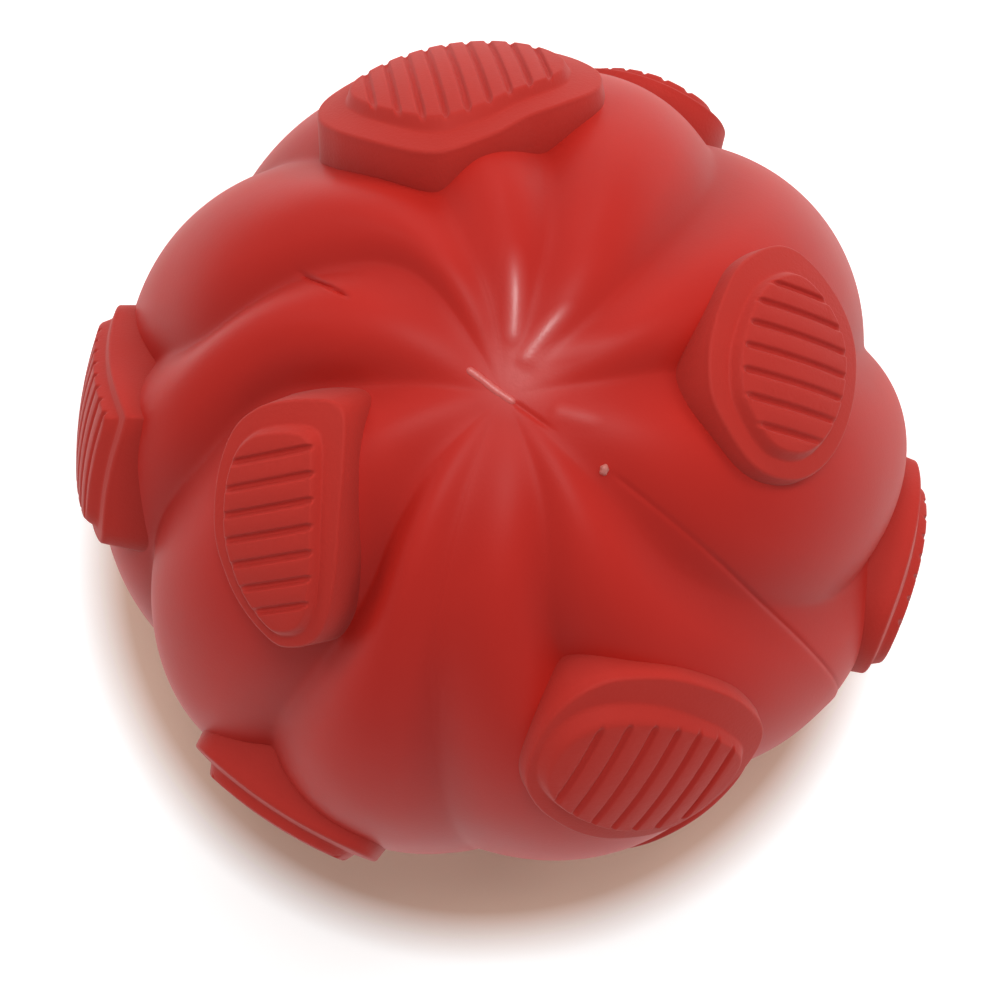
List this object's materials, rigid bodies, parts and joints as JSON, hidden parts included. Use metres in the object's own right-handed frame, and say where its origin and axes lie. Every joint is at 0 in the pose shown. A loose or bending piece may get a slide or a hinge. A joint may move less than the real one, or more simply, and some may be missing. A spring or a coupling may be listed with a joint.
{
  "type": "treat dispensing ball",
  "caption": "Hollow rubber ball for pets, with swirled lobes, raised ribbed pads and a round port that lets treats fall out as it rolls.",
  "frame": {"origin": "centre of the ball, which is also the centre of the treat chamber", "axes": "+Z along the swirl's axis, away from the treat port and up through the far eye of the swirl, as the ball stands on the flats round its port. +X and +Y lie in the ball's equator, with the parting plane at 36 degrees below +X."},
  "size_m": [0.0994, 0.0957, 0.0905],
  "materials": {
    "shell_rubber": "satin",
    "pad_rubber": "matt"
  },
  "bodies": {
    "root": {"shell_half_a": "shell_rubber", "shell_half_b": "shell_rubber", "tread_pad_a": "pad_rubber", "tread_pad_b": "pad_rubber", "tread_pad_c": "pad_rubber", "tread_pad_d": "pad_rubber", "tread_pad_e": "pad_rubber", "tread_pad_f": "pad_rubber", "tread_pad_g": "pad_rubber", "tread_pad_h": "pad_rubber", "tread_pad_j": "pad_rubber", "tread_pad_k": "pad_rubber", "tread_pad_l": "pad_rubber", "tread_pad_m": "pad_rubber"}
  },
  "joints": []
}
